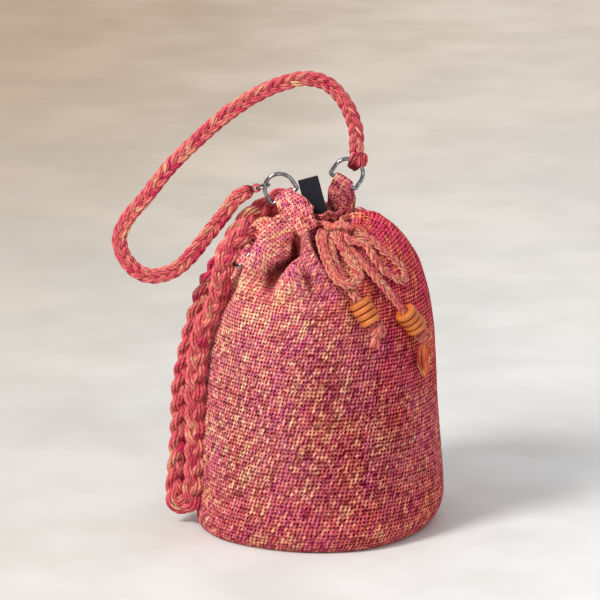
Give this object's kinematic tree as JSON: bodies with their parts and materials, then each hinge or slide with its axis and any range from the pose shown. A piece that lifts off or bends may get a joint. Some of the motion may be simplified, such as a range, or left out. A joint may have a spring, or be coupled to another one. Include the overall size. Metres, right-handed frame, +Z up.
{
  "type": "drawstring bag",
  "caption": "Crocheted potli bag: round body gathered by a beaded drawstring, D-rings, a braided ring handle and a plaited strap.",
  "frame": {"origin": "centre of the round base, on the surface that the bag stands on", "axes": "+X to the bag's right seen from the front, -Y out of its front where the bow is, +Z up"},
  "size_m": [0.3224, 0.2406, 0.4525],
  "materials": {
    "crochet": "single-crochet yarn, coral, magenta and orange",
    "board": "plain fibre board",
    "lining_cloth": "plain woven cloth",
    "ring_metal": "polished wire",
    "braid": "braided yarn, coral with orange flecks",
    "string": "braided yarn, light salmon",
    "tape": "dark woven tape",
    "bead_wood": "turned and lightly waxed, ochre"
  },
  "bodies": {
    "bag": {"bag_wall": "crochet", "base_panel": "crochet", "base_board": "board", "lining": "lining_cloth", "ring_tab_left": "crochet", "ring_tab_right": "crochet", "ring_tab_side": "crochet", "d_ring_side": "ring_metal", "sling_strap": "braid", "label": "tape", "drawstring_neck": "string", "bow_knot": "string", "bow_loop_left": "string", "bow_loop_right": "string", "drawstring_tail_left": "string", "drawstring_tail_right": "string", "tail_knot_left": "string", "tail_knot_right": "string", "tassel_left": "string", "tassel_right": "string"},
    "handle": {"handle_cord": "braid", "handle_jump_ring": "ring_metal"},
    "left_ring": {"d_ring_left": "ring_metal"},
    "right_ring": {"d_ring_right": "ring_metal"},
    "left_beads": {"bead_left_1": "bead_wood", "bead_left_2": "bead_wood", "bead_left_3": "bead_wood", "bead_left_4": "bead_wood"},
    "right_beads": {"bead_right_1": "bead_wood", "bead_right_2": "bead_wood", "bead_right_3": "bead_wood", "bead_right_4": "bead_wood"}
  },
  "joints": [
    {"name": "handle_swing", "type": "hinge", "parent": "bag", "child": "handle", "pos_m": [-0.0359, -0.013, 0.3294], "axis": [0.9657, 0, 0.2596], "range_deg": [-45, 45]},
    {"name": "left_ring_tilt", "type": "hinge", "parent": "bag", "child": "left_ring", "pos_m": [-0.0359, -0.013, 0.3294], "axis": [0.8387, 0, 0.5446], "range_deg": [-37, 37]},
    {"name": "right_ring_tilt", "type": "hinge", "parent": "bag", "child": "right_ring", "pos_m": [0.0199, -0.013, 0.3444], "axis": [0.8387, 0, -0.5446], "range_deg": [-30, 30]},
    {"name": "left_bead_slide", "type": "slide", "parent": "bag", "child": "left_beads", "axis": [-0.5263, 0.1256, 0.841], "range_m": [0, 0.004]},
    {"name": "right_bead_slide", "type": "slide", "parent": "bag", "child": "right_beads", "axis": [-0.5513, -0.274, 0.788], "range_m": [0, 0.004]}
  ],
  "couplings": [
    {"joint": "left_ring_tilt", "follows": "handle_swing", "ratio": 0.8},
    {"joint": "right_ring_tilt", "follows": "handle_swing", "ratio": 0.64}
  ]
}
